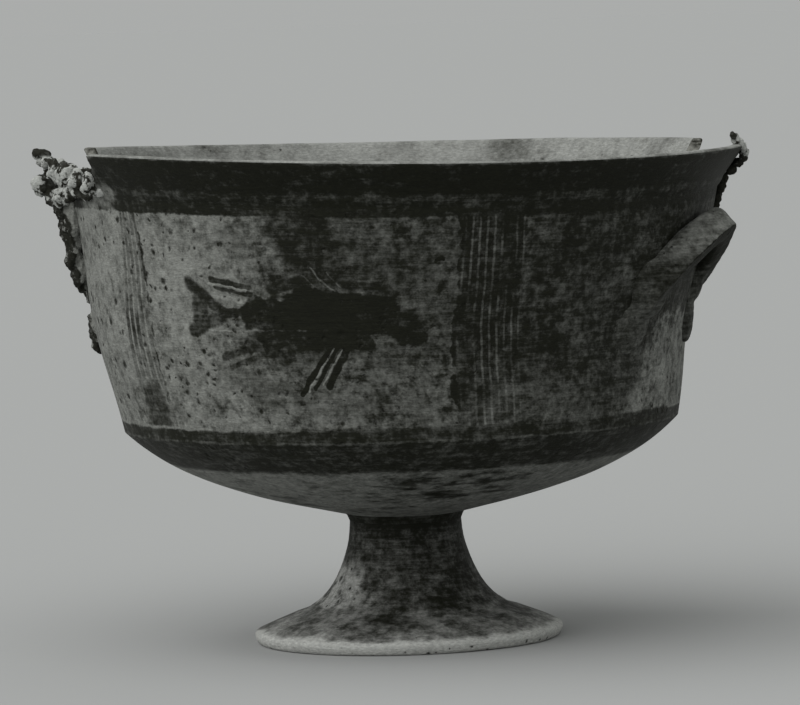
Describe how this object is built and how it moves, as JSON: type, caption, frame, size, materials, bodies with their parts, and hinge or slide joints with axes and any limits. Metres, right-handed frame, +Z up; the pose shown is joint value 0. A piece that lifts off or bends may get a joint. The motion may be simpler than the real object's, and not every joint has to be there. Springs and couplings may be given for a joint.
{
  "type": "pedestalled clay cup",
  "caption": "Deep keeled clay bowl with a flared, partly broken lip on a hollow trumpet foot; one loop handle is whole, the other is broken off.",
  "frame": {"origin": "centre of the foot's resting ring, on the table", "axes": "+Z up the axis of the stem and bowl, +X towards the whole handle, -Y towards the front panel"},
  "size_m": [0.2726, 0.269, 0.194],
  "materials": {
    "painted_clay": "matte fired clay with worn dark slip bands and figures",
    "foot_clay": "matte fired clay with worn dark slip",
    "handle_clay": "matte fired clay, dark slip worn on top",
    "broken_clay": "rough broken clay",
    "pale_crust": "rough pale lime crust"
  },
  "bodies": {
    "root": {"bowl": "painted_clay", "pedestal_foot": "foot_clay", "stem_joint_clay": "foot_clay", "right_handle": "handle_clay", "right_handle_root_clay": "handle_clay", "left_handle_stubs": "broken_clay", "left_handle_root_clay": "broken_clay", "left_rim_crust": "pale_crust", "right_rim_crust": "pale_crust"}
  },
  "joints": []
}
